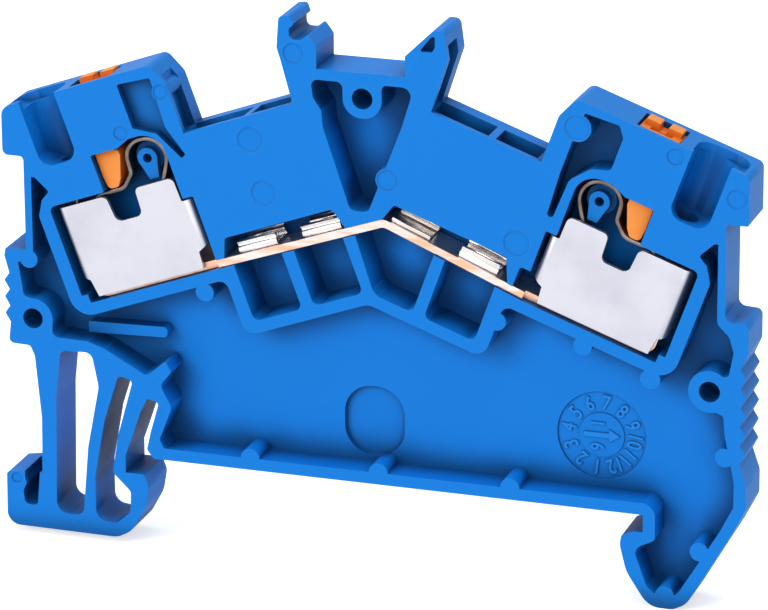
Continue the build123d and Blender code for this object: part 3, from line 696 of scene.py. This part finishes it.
@dataclass
class ClampSpring:
    """A bent strip: its foot lies on the bar, its loop goes round the post, its leg presses out.

    The strip's places are in millimetres from the loop's centre: along outwards, height up.

    Attributes:
        clamp: The clamp's directions and the centre of its loop.
        finish: The strip's finish.
        edge: Width of the broken edges along the strip, in metres.
        foot_end: How far along the foot ends.
        foot_radius: Radius of the bend between the foot and the inner leg.
        leg: How far along the inner leg stands.
        leg_radius: Radius of the bend where the inner leg starts to slant.
        slant: The steepness of the slanting run that leads into the loop.
        inner_ease: How much tighter than the loop its inner shoulder is bent.
        outer_ease: How much tighter than the loop its outer shoulder is bent.
        waist: Where the strip leaves the loop and turns outwards.
        waist_radius: Radius of that bend.
        rest: The height of the level run under the button's wedge.
        dip: How far along that level run starts.
        knee: How far along that level run ends.
        rest_radius: Radius of the bends at both its ends.
        tip_height: The height of the outer leg's tip.
        tip_back: How far the middle of the tip stays behind the strip's outermost edge.
        arc_step: Greatest angle between neighbouring rings of the sweep on a bend.
        longest_run: Longest run between neighbouring rings of the sweep.
        bend: How far along the strip it would start to follow the button, and follow it in full; not used,
            as the strip does not follow the button.
        smooth_angle: Faces that meet at less than this are shaded as one.
        corners: The corners of the strip's middle line as (along, height, radius).
    """

    clamp: ClampFrame
    finish: bpy.types.Material
    edge: float = 0.05 * MM
    foot_end: float = 1.6
    foot_radius: float = 0.4
    leg: float = -0.35
    leg_radius: float = 0.6
    slant: float = math.radians(60)
    inner_ease: float = 0.01
    outer_ease: float = 0.1
    waist: Spot = (1.47, -0.7)
    waist_radius: float = 0.5
    rest: float = -1.5
    dip: float = 2.3
    knee: float = 4.35
    rest_radius: float = 0.8
    tip_height: float = -4.4
    tip_back: float = 0.14
    arc_step: float = math.radians(7)
    longest_run: float = 0.35
    bend: Span = (1.0, 2.5)
    smooth_angle: float = math.radians(50)
    corners: list[Corner] = field(default_factory=list)

    def __post_init__(self) -> None:
        """Work the strip's corners out from the loop, in millimetres from its centre."""
        radius = self.clamp.loop_radius / MM
        spring = frame["nodes"][f"{self.clamp.side.word}_spring"].data
        heights = [v.co.dot(self.clamp.up) for v in spring.vertices]
        post_height = self.clamp.post.dot(self.clamp.up)
        low = (min(heights) - post_height + self.clamp.sheet / 2) / MM
        alongs = [v.co.dot(self.clamp.out) for v in spring.vertices]
        tip = (max(alongs) - self.clamp.post.dot(self.clamp.out)) / MM - self.tip_back
        touch_along = -radius * math.sin(self.slant)
        touch_height = -radius * math.cos(self.slant)
        slant_height = touch_height - (self.leg - touch_along) * math.tan(self.slant)
        shoulder = touch_along - (radius - touch_height) / math.tan(self.slant)
        self.corners = [
            (self.foot_end, low, 0.0),
            (self.leg, low, self.foot_radius),
            (self.leg, slant_height, self.leg_radius),
            (shoulder, radius, radius - self.inner_ease),
            (radius, radius, radius - self.outer_ease),
            (*self.waist, self.waist_radius),
            (self.dip, self.rest, self.rest_radius),
            (self.knee, self.rest, self.rest_radius),
            (tip, self.tip_height, 0.0),
        ]

    def width(self) -> float:
        """The strip's width, read from the CAD node."""
        low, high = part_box(f"{self.clamp.side.word}_spring")
        return high.y - low.y

    def section(self) -> list[Spot]:
        """Outline the strip's cross-section, with its edges broken.

        Returns:
            Its corners as (across the width, through the sheet).
        """
        half, thin, edge = self.width() / 2, self.clamp.sheet / 2, self.edge
        return [
            (-half, -thin + edge),
            (-half + edge, -thin),
            (half - edge, -thin),
            (half, -thin + edge),
            (half, thin - edge),
            (half - edge, thin),
            (-half + edge, thin),
            (-half, thin - edge),
        ]

    def build(self) -> bpy.types.Object:
        """Sweep the strip and dress it.

        Returns:
            The finished piece.
        """
        path = rounded_path(self.corners, self.arc_step)
        path = self.with_points_between(path, self.longest_run)
        shape = bmesh.new()
        rings = []
        for index, (along, height) in enumerate(path):
            before, after = path[max(index - 1, 0)], path[min(index + 1, len(path) - 1)]
            run = Vector((after[0] - before[0], after[1] - before[1])).normalized()
            normal = self.clamp.out * -run.y + self.clamp.up * run.x
            centre = self.clamp.point(along, height)
            rings.append([
                shape.verts.new(centre + BACK * across + normal * through)
                for across, through in self.section()
            ])
        for first, second in zip(rings, rings[1:]):
            for index, vertex in enumerate(first):
                after = (index + 1) % len(first)
                shape.faces.new((vertex, first[after], second[after], second[index]))
        shape.faces.new(rings[0])
        shape.faces.new(rings[-1][::-1])
        bmesh.ops.recalc_face_normals(shape, faces=shape.faces)
        name = f"{self.clamp.side.word}_spring_strip"
        piece = new_piece(name, mesh_of(shape, name))
        shade(piece, self.smooth_angle)
        dress(piece, self.finish)
        f"{self.clamp.side.word}_button"
        self.clamp.point(self.bend[0], 0.0)
        self.clamp.point(self.bend[1], 0.0)
        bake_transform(piece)
        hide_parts(f"{self.clamp.side.word}_spring")
        return piece

    @staticmethod
    def with_points_between(path: list[Spot], longest: float) -> list[Spot]:
        """Divide the long straight runs of a path, so that they can bend.

        Args:
            path: The points of the path.
            longest: The longest run that stays whole.

        Returns:
            The path with more points.
        """
        points = [path[0]]
        for (x0, y0), (x1, y1) in zip(path, path[1:]):
            count = max(1, math.ceil(math.hypot(x1 - x0, y1 - y0) / longest))
            for index in range(1, count + 1):
                share = index / count
                points.append((x0 + (x1 - x0) * share, y0 + (y1 - y0) * share))
        return points


@dataclass
class DateDial:
    """The mould's date dial on the panel: numbers in a ring and an arrow, all slightly raised.

    Sizes are in millimetres, and levels are counted from the closed back.

    Attributes:
        finish: The finish of the raised figures.
        centre: The dial's centre along X and Z.
        numbers: How many numbers stand in the ring.
        number_ring: Radius of the ring.
        number_height: Height of the numbers in the ring.
        start_turn: Where a number 0 would stand in the ring, in degrees from +X.
        small_numbers: The two numbers beside the arrow.
        small_height: Their height.
        small_place: Where the upper one stands from the centre. The lower one mirrors it.
        font_share: Font size for each millimetre of a number's height.
        narrowing: Width of a number against the font's own.
        stroke_growth: How much thicker its strokes are than the font's own.
        curve_runs: How many straight runs stand for each curve of the font.
        arrow_along: Where along X the arrow's tail, neck and tip lie from the centre.
        arrow_half: Half the width of its shaft and of its head.
        raise_by: How far all the figures are raised.
        ring_level: Level of the ground under the ring of numbers.
        inner_level: Level of the disc in the middle.
        bar_level: Level of the current bar's middle, from which the others are placed.
    """

    finish: bpy.types.Material
    centre: Spot = (14.97, 4.27)
    numbers: int = 12
    number_ring: float = 2.21
    number_height: float = 1.0
    start_turn: float = 292.0
    small_numbers: tuple[str, str] = ("1", "6")
    small_height: float = 0.95
    small_place: Spot = (-0.25, 0.8)
    font_share: float = 1.4
    narrowing: float = 0.8
    stroke_growth: float = 0.03
    curve_runs: int = 3
    arrow_along: tuple[float, float, float] = (-1.18, 0.5, 1.25)
    arrow_half: Span = (0.16, 0.43)
    raise_by: float = 0.08
    ring_level: float = 1.18
    inner_level: float = 1.252
    bar_level: float = 2.1

    def level(self, height: float) -> float:
        """Turn a level into a place along Y.

        Args:
            height: The level above the closed back, in millimetres.

        Returns:
            Its Y in the model's frame, in metres.
        """
        low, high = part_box("current_bar")
        middle = (low.y + high.y) / 2
        return middle + (self.bar_level - height) * MM

    def word(self, text: str, size: float, turn: float, place: Spot, height: float) -> bpy.types.Mesh:
        """Make one raised number.

        Args:
            text: The number.
            size: Its height in millimetres.
            turn: Its turn from upright, in radians.
            place: Its centre on the dial, in millimetres from the dial's centre.
            height: The level of the ground that it stands on.

        Returns:
            The number's mesh in the model's frame.
        """
        curve = bpy.data.curves.new("number", "FONT")
        curve.body = text
        curve.size = size * self.font_share * MM
        curve.align_x = "CENTER"
        curve.align_y = "CENTER"
        curve.extrude = self.raise_by * MM
        curve.offset = self.stroke_growth * MM
        curve.resolution_u = self.curve_runs
        holder = new_piece("number", curve)
        graph = bpy.context.evaluated_depsgraph_get()
        mesh = bpy.data.meshes.new_from_object(holder.evaluated_get(graph))
        bpy.data.objects.remove(holder)
        low, high = box_of([vertex.co for vertex in mesh.vertices])
        middle = (low + high) / 2
        x, z = self.centre[0] + place[0], self.centre[1] + place[1]
        upright = Matrix.Rotation(math.radians(90), 4, "X") @ Matrix.Rotation(turn, 4, "Z")
        squeeze = Matrix.Diagonal((self.narrowing, 1.0, 1.0, 1.0))
        centred = Matrix.Translation((-middle.x, -middle.y, 0.0))
        spot = Matrix.Translation((x * MM, self.level(height), z * MM))
        mesh.transform(spot @ upright @ squeeze @ centred)
        return mesh

    def arrow(self) -> bpy.types.Mesh:
        """Make the raised arrow in the middle of the dial, pointing along +X.

        Returns:
            The arrow's mesh in the model's frame.
        """
        tail, neck, tip = self.arrow_along
        shaft, head = self.arrow_half
        outline = [
            (tail, -shaft),
            (neck, -shaft),
            (neck, -head),
            (tip, 0.0),
            (neck, head),
            (neck, shaft),
            (tail, shaft),
        ]
        shape = bmesh.new()
        ground = self.level(self.inner_level)
        for height in (ground, ground - self.raise_by * MM):
            ring = [
                shape.verts.new(((self.centre[0] + x) * MM, height, (self.centre[1] + z) * MM))
                for x, z in outline
            ]
            shape.faces.new(ring)
        corners = list(shape.verts)
        count = len(outline)
        low, high = corners[:count], corners[count:]
        for index in range(count):
            after = (index + 1) % count
            shape.faces.new((low[index], low[after], high[after], high[index]))
        bmesh.ops.recalc_face_normals(shape, faces=shape.faces)
        return mesh_of(shape, "arrow")

    def build(self) -> bpy.types.Object:
        """Make the numbers and the arrow as one piece on the housing.

        Returns:
            The finished piece.
        """
        meshes = [self.arrow()]
        quarter = math.pi / 2
        for number in range(1, self.numbers + 1):
            angle = math.radians(self.start_turn - 360 / self.numbers * number)
            turn = angle - quarter
            place = (self.number_ring * math.cos(angle), self.number_ring * math.sin(angle))
            meshes.append(self.word(str(number), self.number_height, turn, place, self.ring_level))
        along, up = self.small_place
        for text, place in zip(self.small_numbers, ((along, up), (along, -up))):
            meshes.append(self.word(text, self.small_height, -quarter, place, self.inner_level))
        shape = bmesh.new()
        for mesh in meshes:
            shape.from_mesh(mesh)
            bpy.data.meshes.remove(mesh)
        name = "date_dial_numbers"
        piece = new_piece(name, mesh_of(shape, name))
        dress(piece, self.finish)
        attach(piece, "housing")
        return piece


@dataclass
class Studio:
    """The camera, the soft lamps and the pale floor.

    Attributes:
        azimuth: How far the camera stands to the right of straight in front, in radians.
        elevation: How far it looks down, in radians.
        roll: How far its picture is turned, in radians.
        target: The point that it looks at, in metres.
        distance: How far it stands from that point, in metres.
        lens: Its focal length, in millimetres.
        picture_width: The width of its sensor, in millimetres.
        soft_light: Strength of the light from all round.
        floor_gap: How far the floor lies under the object, in metres.
        floor_reach: How far the floor goes to each side, in metres.
        floor_white: The floor's own colour, the same in red, green and blue.
        floor_glow: How much the floor is brightened for the camera alone.
        floor_mirrored: How much it is brightened for mirroring surfaces alone.
    """

    azimuth: float = math.radians(18.55)
    elevation: float = math.radians(19.28)
    roll: float = math.radians(-0.372)
    target: Vector = field(default_factory=lambda: Vector((1.074, -1.75, 12.371)) * MM)
    distance: float = 331.2 * MM
    lens: float = 242.9
    picture_width: float = 36.0
    soft_light: float = 0.32
    floor_gap: float = 0.02 * MM
    floor_reach: float = 3.0
    floor_white: float = 0.9
    floor_glow: float = 0.62
    floor_mirrored: float = 0.35

    def camera(self) -> None:
        """Set the camera up at the photograph's viewing angle."""
        a, e = self.azimuth, self.elevation
        forward = Vector((-math.sin(a) * math.cos(e), math.cos(a) * math.cos(e), -math.sin(e)))
        right = Vector((math.cos(a), math.sin(a), 0.0))
        up = right.cross(forward)
        turned_right = right * math.cos(self.roll) + up * math.sin(self.roll)
        turned_up = up * math.cos(self.roll) - right * math.sin(self.roll)
        data = bpy.data.cameras.new("camera")
        data.lens = self.lens
        data.sensor_width = self.picture_width
        data.clip_start = 0.01
        data.clip_end = 50.0
        camera = bpy.data.objects.new("camera", data)
        bpy.context.scene.collection.objects.link(camera)
        turn = Matrix((turned_right, turned_up, -forward)).transposed().to_4x4()
        camera.matrix_world = Matrix.Translation(self.target - forward * self.distance) @ turn
        bpy.context.scene.camera = camera

    def lamp(self, name: str, place: tuple[float, float, float], size: float, power: float) -> None:
        """Add a square soft lamp that faces the object.

        Args:
            name: The lamp's name.
            place: Where it stands, in metres.
            size: The length of its sides, in metres.
            power: Its power in watts.
        """
        data = bpy.data.lights.new(name, "AREA")
        data.shape = "SQUARE"
        data.size = size
        data.energy = power
        lamp = bpy.data.objects.new(name, data)
        bpy.context.scene.collection.objects.link(lamp)
        turn = (self.target - Vector(place)).to_track_quat("-Z", "Y")
        lamp.matrix_world = Matrix.Translation(place) @ turn.to_matrix().to_4x4()

    def world(self) -> None:
        """Light the object softly from all round, and show white to the camera and in metal."""
        world = bpy.data.worlds.new("studio")
        world.use_nodes = True
        tree = world.node_tree
        background = tree.nodes["Background"]
        background.inputs["Color"].default_value = (1.0, 1.0, 1.0, 1.0)
        path = tree.nodes.new("ShaderNodeLightPath")
        seen = tree.nodes.new("ShaderNodeMath")
        seen.operation = "MAXIMUM"
        tree.links.new(path.outputs["Is Camera Ray"], seen.inputs[0])
        tree.links.new(path.outputs["Is Glossy Ray"], seen.inputs[1])
        strength = tree.nodes.new("ShaderNodeMapRange")
        strength.inputs["To Min"].default_value = self.soft_light
        strength.inputs["To Max"].default_value = 1.0
        tree.links.new(seen.outputs["Value"], strength.inputs["Value"])
        tree.links.new(strength.outputs["Result"], background.inputs["Strength"])
        bpy.context.scene.world = world

    def floor_paint(self) -> bpy.types.Material:
        """Make the floor's white, which shows white to the camera and keeps the object's shadow.

        Returns:
            The material.
        """
        material = bpy.data.materials.new("white floor")
        material.use_nodes = True
        tree = material.node_tree
        output = tree.nodes["Material Output"]
        tree.nodes.remove(tree.nodes["Principled BSDF"])
        paint = tree.nodes.new("ShaderNodeBsdfDiffuse")
        paint.inputs["Color"].default_value = (*[self.floor_white] * 3, 1.0)
        glow = tree.nodes.new("ShaderNodeEmission")
        path = tree.nodes.new("ShaderNodeLightPath")
        strength = tree.nodes.new("ShaderNodeMath")
        strength.operation = "MULTIPLY_ADD"
        strength.inputs[1].default_value = self.floor_glow
        tree.links.new(path.outputs["Is Camera Ray"], strength.inputs[0])
        mirrored = tree.nodes.new("ShaderNodeMath")
        mirrored.operation = "MULTIPLY"
        mirrored.inputs[1].default_value = self.floor_mirrored
        tree.links.new(path.outputs["Is Glossy Ray"], mirrored.inputs[0])
        tree.links.new(mirrored.outputs["Value"], strength.inputs[2])
        tree.links.new(strength.outputs["Value"], glow.inputs["Strength"])
        both = tree.nodes.new("ShaderNodeAddShader")
        tree.links.new(paint.outputs["BSDF"], both.inputs[0])
        tree.links.new(glow.outputs["Emission"], both.inputs[1])
        tree.links.new(both.outputs["Shader"], output.inputs["Surface"])
        return material

    def floor(self) -> None:
        """Lay a plain white floor just under the object."""
        low = MODEL_BOX[0].z - self.floor_gap
        half = self.floor_reach
        mesh = bpy.data.meshes.new("floor")
        corners = [(-half, -half, low), (half, -half, low), (half, half, low), (-half, half, low)]
        mesh.from_pydata(corners, [], [(0, 1, 2, 3)])
        piece = new_piece("floor", mesh)
        dress(piece, self.floor_paint())

    def build(self) -> None:
        """Set the whole studio up."""
        self.camera()
        self.lamp("left window", (-0.45, -0.7, 0.4), size=0.5, power=3.4)
        self.lamp("front window", (0.2, -0.85, 0.2), size=0.6, power=1.6)
        self.lamp("top window", (0.1, -0.1, 0.85), size=0.6, power=3.8)
        self.world()
        self.floor()
        bpy.context.scene.view_settings.view_transform = "Standard"


@dataclass
class TerminalBlock:
    """The whole block: the housing, both clamps, the bar and its clips.

    Attributes:
        housing_edge: The rounding of the housing's edges.
        button_edge: The rounding of the buttons' edges.
        sheet_edge: The rounding of the cages' edges.
        bar_edge: The rounding of the bar's edges.
        clip_edge: The rounding of the clips' edges.
        mark_depth: How far the round marks lie under the open side, in metres.
        level_play: How far a mark's corner may be off that level, as a share of mark_depth.
        round_play: How much a mark's width and height may differ, as a share of its width.
        fewest_corners: A group with no more corners than this is no round mark.
        ring_share: Radius of a ring's wire, as a share of the mark's radius.
        ring_runs: How many straight runs a ring has.
        wire_sides: How many sides its wire has.
    """

    housing_edge: SoftEdges = SoftEdges(0.06 * MM)
    button_edge: SoftEdges = SoftEdges(0.07 * MM)
    sheet_edge: SoftEdges = SoftEdges(0.04 * MM)
    bar_edge: SoftEdges = SoftEdges(0.05 * MM)
    clip_edge: SoftEdges = SoftEdges(0.03 * MM)
    mark_depth: float = 0.06 * MM
    level_play: float = 0.2
    round_play: float = 0.05
    fewest_corners: int = 8
    ring_share: float = 0.045
    ring_runs: int = 40
    wire_sides: int = 6

    def finishes(self) -> dict[str, bpy.types.Material]:
        """Make the materials that the pieces share, with the plastics' painted shade in hollows and the
        paler rim blue painted as an edge highlight.

        Returns:
            The finishes by name.
        """
        makers = [
            # Each plastic's second colour is the darker colour painted as shade in its hollows.
            MouldedPlastic("housing blue", (0.004, 0.205, 0.7), (0.003, 0.065, 0.22)),
            # A paler copy of the housing blue, painted on the housing's rounded edges and on the mark rings
            # as a highlight.
            MouldedPlastic("housing rim", (0.05, 0.3, 0.82), (0.01, 0.15, 0.45), roughness=(0.4, 0.5)),
            MouldedPlastic("dial blue", (0.012, 0.24, 0.76), (0.01, 0.16, 0.5)),
            MouldedPlastic("button orange", (0.95, 0.33, 0.07), (0.75, 0.16, 0.02), roughness=(0.34, 0.44)),
            TinnedSheet("cage tin"),
            SpringSteel("spring strip"),
            TinnedCopper("tinned copper strip"),
            TinnedSheet("clip tin", (0.86, 0.82, 0.8), (0.7, 0.62, 0.57), (0.14, 0.28), dents=0.03 * MM),
        ]
        return {maker.name: maker.build() for maker in makers}

    def ring_tree(self, finish: bpy.types.Material) -> tuple[bpy.types.NodeTree, str]:
        """Build the Geometry Nodes that lay a ring on each point, as wide as the point says.

        Args:
            finish: The material of the rings, a paler blue painted as a highlight.

        Returns:
            The tree, and the identifier of its input for the wire's thickness.
        """
        tree = bpy.data.node_groups.new("rings on marks", "GeometryNodeTree")
        sockets = tree.interface
        sockets.new_socket("Geometry", in_out="INPUT", socket_type="NodeSocketGeometry")
        sockets.new_socket("Geometry", in_out="OUTPUT", socket_type="NodeSocketGeometry")
        share = sockets.new_socket("Thickness share", in_out="INPUT", socket_type="NodeSocketFloat")
        start, end = tree.nodes.new("NodeGroupInput"), tree.nodes.new("NodeGroupOutput")
        circle = tree.nodes.new("GeometryNodeCurvePrimitiveCircle")
        circle.inputs["Resolution"].default_value = self.ring_runs
        circle.inputs["Radius"].default_value = 1.0
        profile = tree.nodes.new("GeometryNodeCurvePrimitiveCircle")
        profile.inputs["Resolution"].default_value = self.wire_sides
        tube = tree.nodes.new("GeometryNodeCurveToMesh")
        size = tree.nodes.new("GeometryNodeInputNamedAttribute")
        size.inputs["Name"].default_value = "ring_radius"
        spread = tree.nodes.new("GeometryNodeInstanceOnPoints")
        spread.inputs["Rotation"].default_value = (math.radians(90), 0.0, 0.0)
        real = tree.nodes.new("GeometryNodeRealizeInstances")
        smooth = tree.nodes.new("GeometryNodeSetShadeSmooth")
        coat = tree.nodes.new("GeometryNodeSetMaterial")
        coat.inputs["Material"].default_value = finish
        links = [
            (start.outputs["Thickness share"], profile.inputs["Radius"]),
            (circle.outputs["Curve"], tube.inputs["Curve"]),
            (profile.outputs["Curve"], tube.inputs["Profile Curve"]),
            (start.outputs["Geometry"], spread.inputs["Points"]),
            (smooth.outputs["Geometry"], spread.inputs["Instance"]),
            (size.outputs["Attribute"], spread.inputs["Scale"]),
            (tube.outputs["Mesh"], smooth.inputs["Geometry"]),
            (spread.outputs["Instances"], real.inputs["Geometry"]),
            (real.outputs["Geometry"], coat.inputs["Geometry"]),
            (coat.outputs["Geometry"], end.inputs["Geometry"]),
        ]
        for source, target in links:
            tree.links.new(source, target)
        return tree, share.identifier

    def mark_rings(self, finish: bpy.types.Material) -> bpy.types.Object:
        """Lay a fine raised ring round each flat round mark, by Geometry Nodes.

        Args:
            finish: The material of the rings, a paler blue painted as a highlight.

        Returns:
            The rings as one piece on the housing.
        """
        points = bpy.data.meshes.new("mark_rings")
        marks = self.flat_marks()
        points.from_pydata([tuple(centre) for centre, _ in marks], [], [])
        sizes = points.attributes.new("ring_radius", "FLOAT", "POINT")
        sizes.data.foreach_set("value", [radius for _, radius in marks])
        piece = new_piece("mark_rings", points)
        tree, thickness = self.ring_tree(finish)
        modifier = piece.modifiers.new("rings", "NODES")
        modifier.node_group = tree
        modifier[thickness] = self.ring_share
        settled(piece)
        dress(piece, finish)
        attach(piece, "housing")
        return piece

    def flat_marks(self) -> list[tuple[Vector, float]]:
        """Find the round marks just under the housing's open side.

        Returns:
            The centre and the radius of each mark, in metres.
        """
        shape = bmesh.new()
        shape.from_mesh(frame["nodes"]["housing"].data)
        bmesh.ops.remove_doubles(shape, verts=shape.verts, dist=MERGE)
        mark_level = min(vertex.co.y for vertex in shape.verts) + self.mark_depth
        play = self.level_play * self.mark_depth
        left = {vertex for vertex in shape.verts if abs(vertex.co.y - mark_level) < play}
        marks = []
        while left:
            group, waiting = [], [left.pop()]
            while waiting:
                vertex = waiting.pop()
                group.append(vertex.co.copy())
                near = {edge.other_vert(vertex) for edge in vertex.link_edges} & left
                left -= near
                waiting.extend(near)
            low, high = box_of(group)
            width, height = high.x - low.x, high.z - low.z
            is_round = abs(width - height) < self.round_play * width
            if len(group) > self.fewest_corners and is_round:
                marks.append(((low + high) / 2, width / 2))
        shape.free()
        LOG.info("%d round marks", len(marks))
        return marks

    def build(self) -> None:
        """Make every piece and report it."""
        finish = self.finishes()
        clips = ("left_outer", "left_inner", "right_inner", "right_outer")
        clip_nodes = [f"bridge_clip_{place}" for place in clips]
        groups = [
            # The housing's rounded edges get the paler rim blue, a painted highlight.
            (["housing"], self.housing_edge, ("housing blue", "housing rim"), "housing_plastic"),
            (["left_button", "right_button"], self.button_edge, ("button orange",), "button_plastic"),
            (["left_cage", "right_cage"], self.sheet_edge, ("cage tin",), "cage_metal"),
            (["current_bar"], self.bar_edge, ("tinned copper strip",), "tinned_copper"),
            (clip_nodes, self.clip_edge, ("clip tin",), "tinned_copper"),
        ]
        for nodes, edges, colours, slot in groups:
            for node in nodes:
                piece = edges.copy(node, f"{node}_skin", *(finish[colour] for colour in colours))
                report(piece)
        for side in Side:
            report(ClampSpring(ClampFrame(side), finish["spring strip"]).build())
        report(DateDial(finish["dial blue"]).build())
        # The rings wear the paler rim blue, painted as a highlight round each mark.
        report(self.mark_rings(finish["housing rim"]))


def main() -> None:
    """Build the block and its studio."""
    logging.basicConfig(level=logging.INFO, format="%(name)s %(message)s")
    TerminalBlock().build()
    Studio().build()


if __name__ == "__main__":
    main()
